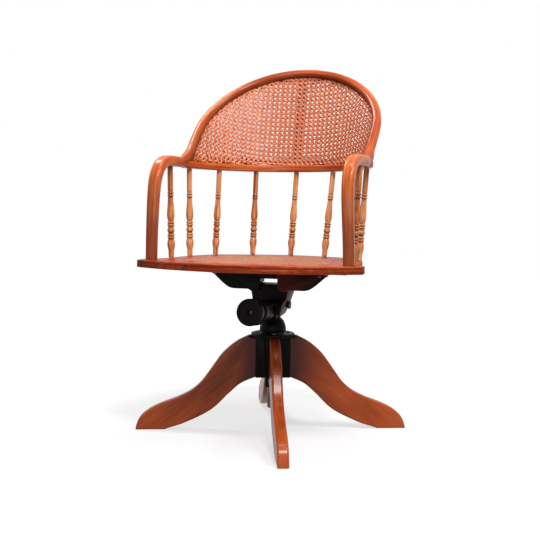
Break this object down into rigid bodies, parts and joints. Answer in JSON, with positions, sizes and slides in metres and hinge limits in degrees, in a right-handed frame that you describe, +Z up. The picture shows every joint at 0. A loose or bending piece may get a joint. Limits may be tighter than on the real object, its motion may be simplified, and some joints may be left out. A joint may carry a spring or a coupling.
{
  "type": "bankers swivel chair",
  "caption": "Bentwood armchair with a caned seat, turned spindles and a leaning caned hoop back, on a sprung tilt and swivel head over a splayed wooden pedestal base.",
  "frame": {"origin": "on the floor under the swivel axis", "axes": "+Z up the swivel axis, -Y the way the sitter faces, +X to the viewer's right from the front"},
  "size_m": [0.6382, 0.6382, 0.9237],
  "materials": {
    "leg_wood": "red-brown stain under gloss varnish",
    "arm_wood": "orange-brown stain under gloss varnish",
    "spindle_wood": "golden brown stain under varnish",
    "seat_wood": "red-brown stain under varnish",
    "batten_wood": "unfinished pale wood",
    "cane": "woven split cane under varnish",
    "black_iron": "black japanned",
    "bright_steel": "dulled machined steel"
  },
  "bodies": {
    "base": {"leg_1": "leg_wood", "leg_2": "leg_wood", "leg_3": "leg_wood", "leg_4": "leg_wood", "hub_angle_1": "black_iron", "hub_angle_2": "black_iron", "hub_angle_3": "black_iron", "hub_angle_4": "black_iron", "hub_socket": "black_iron", "cap_plate": "black_iron", "cap_screw_1": "bright_steel", "cap_screw_2": "bright_steel", "cap_screw_3": "bright_steel", "cap_screw_4": "bright_steel"},
    "spindle": {"screw_spindle": "bright_steel"},
    "head": {"swivel_head": "black_iron"},
    "seat": {"arm_left": "arm_wood", "arm_right": "arm_wood", "back_rail": "arm_wood", "hoop": "arm_wood", "back_slat": "arm_wood", "spindle_1": "spindle_wood", "spindle_2": "spindle_wood", "spindle_3": "spindle_wood", "spindle_4": "spindle_wood", "spindle_5": "spindle_wood", "spindle_6": "spindle_wood", "spindle_7": "spindle_wood", "spindle_8": "spindle_wood", "spindle_9": "spindle_wood", "seat_front_rail": "seat_wood", "seat_left_rail": "seat_wood", "seat_right_rail": "seat_wood", "seat_back_rail": "seat_wood", "front_batten": "batten_wood", "rear_batten": "batten_wood", "seat_cane": "cane", "seat_spline": "cane", "back_cane": "cane", "tilt_housing": "black_iron", "spring_barrel": "black_iron", "seat_iron_right": "black_iron", "seat_iron_left": "black_iron", "iron_tie": "black_iron", "pivot_pin": "bright_steel", "tension_rod": "bright_steel", "coil_spring": "bright_steel", "iron_screw_1": "bright_steel", "iron_screw_2": "bright_steel", "iron_screw_3": "bright_steel", "iron_screw_4": "bright_steel"},
    "knob": {"tension_knob": "black_iron"},
    "plate": {"spring_plate": "bright_steel"}
  },
  "joints": [
    {"name": "height", "type": "slide", "parent": "base", "child": "spindle", "axis": [0, 0, 1], "range_m": [0, 0.09]},
    {"name": "swivel", "type": "hinge", "parent": "spindle", "child": "head", "pos_m": [0, 0, 0.27], "axis": [0, 0, 1], "continuous": true},
    {"name": "tilt", "type": "hinge", "parent": "head", "child": "seat", "pos_m": [0, -0.01, 0.312], "axis": [-1, 0, 0], "range_deg": [0, 15], "stiffness_Nm_per_rad": 60, "springref_deg": -8.59},
    {"name": "tension", "type": "hinge", "parent": "seat", "child": "knob", "pos_m": [0, 0, 0.2945], "axis": [0, -0.9962, 0.0872], "range_deg": [0, 1800]},
    {"name": "preload", "type": "slide", "parent": "seat", "child": "plate", "axis": [0, 0.9962, -0.0872], "range_m": [0, 0.0101], "deforming": ["coil_spring"]}
  ],
  "couplings": [
    {"joint": "preload", "follows": "tension", "m_per_rad": 0.000318}
  ]
}
